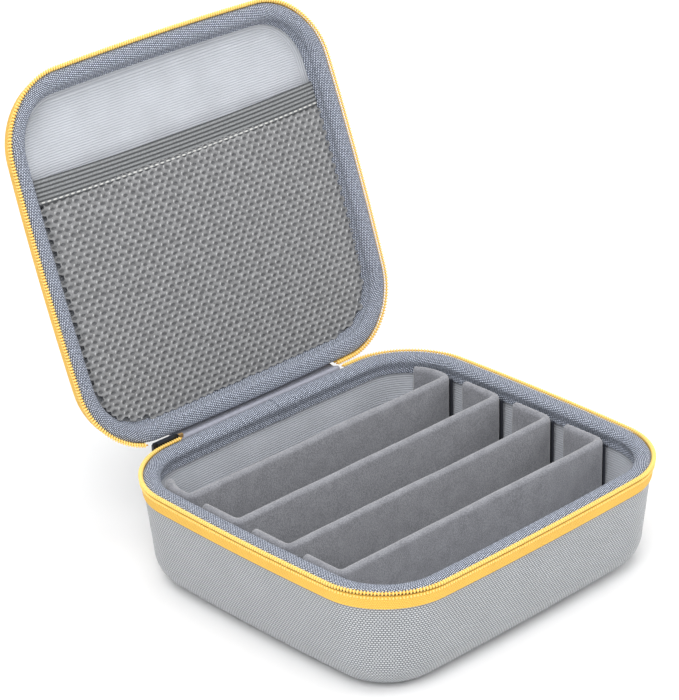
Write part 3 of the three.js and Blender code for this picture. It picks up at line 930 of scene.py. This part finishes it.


# hinge strip, shaped folded between the base and the open lid
stripLow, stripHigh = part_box("hinge_strip")
strip = {
    "leg": 12 * mm, "lidLeg": 10 * mm, "setback": -1.5 * mm,
    "reach": (3 * mm, 2.6 * mm),  # past the frame's strip, left and right
    "rise": 2.2 * mm, "centre": -0.15 * mm, "thick": 0.9 * mm, "cloth": 0.72 * mm,
    "seam": 6 * mm, "foldBase": 0.9 * mm, "foldLid": 0.8 * mm, "foldSteps": 14, "sideSteps": 30,
}


def hingeStrip():
    turn = openAngle

    def onLidWall(y, z):
        c, s = math.cos(turn), math.sin(turn)
        return Vector((y * c + z * s, -y * s + z * c))

    lidGap = case["lidRim"] - hingePoint.z
    baseEnd = Vector((strip["centre"], -strip["rise"]))
    lidStart = onLidWall(strip["centre"], lidGap + strip["rise"])
    path = [Vector((strip["centre"], -strip["leg"])), Vector((strip["centre"], -strip["seam"]))]
    baseWay = Vector((strip["centre"], strip["foldBase"]))
    lidWay = onLidWall(strip["centre"], lidGap - strip["foldLid"])
    for k in range(strip["foldSteps"] + 1):
        t = k / strip["foldSteps"]
        ends = baseEnd * (1 - t) ** 3 + lidStart * t ** 3
        path.append(ends + baseWay * 3 * t * (1 - t) ** 2 + lidWay * 3 * t * t * (1 - t))
    for part in (0.5, 0.7, 0.85, 1):
        down = strip["lidLeg"] * part
        inset = wallInset(-case["gap"] - strip["thick"] / 2, case["lidHeight"] - down, halves["lid"])
        path.append(onLidWall(strip["setback"] - inset, lidGap + down))
    left, right = stripLow.x - strip["reach"][0], stripHigh.x + strip["reach"][1]
    bm = bmesh.new()
    run = bm.verts.layers.float.new("run")
    verts = []
    travelled = 0.0
    for i, p in enumerate(path):
        vert = bm.verts.new((left, hingePoint.y + p.x, hingePoint.z + p.y))
        travelled += (path[i] - path[i - 1]).length if i else 0.0
        vert[run] = travelled
        verts.append(vert)
    edges = [bm.edges.new(pair) for pair in zip(verts, verts[1:])]
    pullEdges(bm, edges, Vector((right - left, 0, 0)), strip["sideSteps"])
    uv = bm.loops.layers.uv.new("UVMap")
    for face in bm.faces:
        for loop in face.loops:
            loop[uv].uv = (loop.vert.co.x, loop.vert[run])
    bmesh.ops.recalc_face_normals(bm, faces=bm.faces)
    bmesh.ops.solidify(bm, geom=bm.faces[:], thickness=strip["cloth"])
    piece = finishPiece("hinge_webbing", bm, materials["strip"], None, ["hinge_strip"], 50)
    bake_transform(piece)


hingeStrip()
print("hinge strip made")

# the zipper's small metal pieces are the frame's own, with their edges rounded
for nodeName in ("zipper_slider", "slider_pull", "zipper_end_stop"):
    rounding = frame["nodes"][nodeName].modifiers.new("rounding", "BEVEL")
    rounding.width = 0.25 * mm
    rounding.segments = 2
    rounding.limit_method = "ANGLE"


# floor, light and camera
camera = {
    "azimuth": -43.55, "elevation": 25.84, "roll": -1.43,
    "target": Vector((63.8 * mm, 103.7 * mm, case["rim"])),
    "distance": 1.425, "lens": 148.8, "sensor": 36,
}


def addCamera():
    a, e = math.radians(camera["azimuth"]), math.radians(camera["elevation"])
    roll = math.radians(camera["roll"])
    back = Vector((math.sin(a) * math.cos(e), -math.cos(a) * math.cos(e), math.sin(e)))
    right = Vector((math.cos(a), math.sin(a), 0))
    up = back.cross(right)
    x = right * math.cos(roll) + up * math.sin(roll)
    y = up * math.cos(roll) - right * math.sin(roll)
    data = bpy.data.cameras.new("camera")
    data.lens = camera["lens"]
    data.sensor_width = camera["sensor"]
    obj = bpy.data.objects.new("camera", data)
    stand = Matrix.Translation(camera["target"] + back * camera["distance"])
    obj.matrix_world = stand @ Matrix((x, y, back)).transposed().to_4x4()
    bpy.context.collection.objects.link(obj)
    bpy.context.scene.camera = obj


studio = {"floor": 6, "floorColor": (0.93, 0.93, 0.93), "floorRoughness": 0.7, "sky": 0.62}


def addFloor():
    bm = bmesh.new()
    bmesh.ops.create_grid(bm, x_segments=1, y_segments=1, size=studio["floor"])
    mesh = bpy.data.meshes.new("floor")
    bm.to_mesh(mesh)
    bm.free()
    floor = bpy.data.objects.new("floor", mesh)
    mesh.materials.append(plainMaterial("pale_floor", studio["floorColor"], studio["floorRoughness"])[0])
    bpy.context.collection.objects.link(floor)


def addLight(name, place, aim, size, power):
    data = bpy.data.lights.new(name, "AREA")
    data.shape = "RECTANGLE"
    data.size, data.size_y = size
    data.energy = power
    obj = bpy.data.objects.new(name, data)
    obj.location = place
    obj.rotation_euler = (Vector(aim) - Vector(place)).to_track_quat("-Z", "Y").to_euler()
    bpy.context.collection.objects.link(obj)


addCamera()
addFloor()
addLight("key", (-1.3, -0.9, 1.6), (0, 0.05, 0.05), (1.2, 1.2), 28)
addLight("fill", (1.4, -1.2, 1.1), (0, 0.05, 0.05), (1.4, 1.0), 12)
addLight("top", (0.0, 0.3, 2.2), (0, 0.05, 0.0), (2.2, 2.2), 26)
world = bpy.data.worlds.new("studio")
world.use_nodes = True
world.node_tree.nodes["Background"].inputs["Color"].default_value = (1, 1, 1, 1)
world.node_tree.nodes["Background"].inputs["Strength"].default_value = studio["sky"]
bpy.context.scene.world = world
bpy.context.scene.view_settings.view_transform = "Standard"
print("stage set")
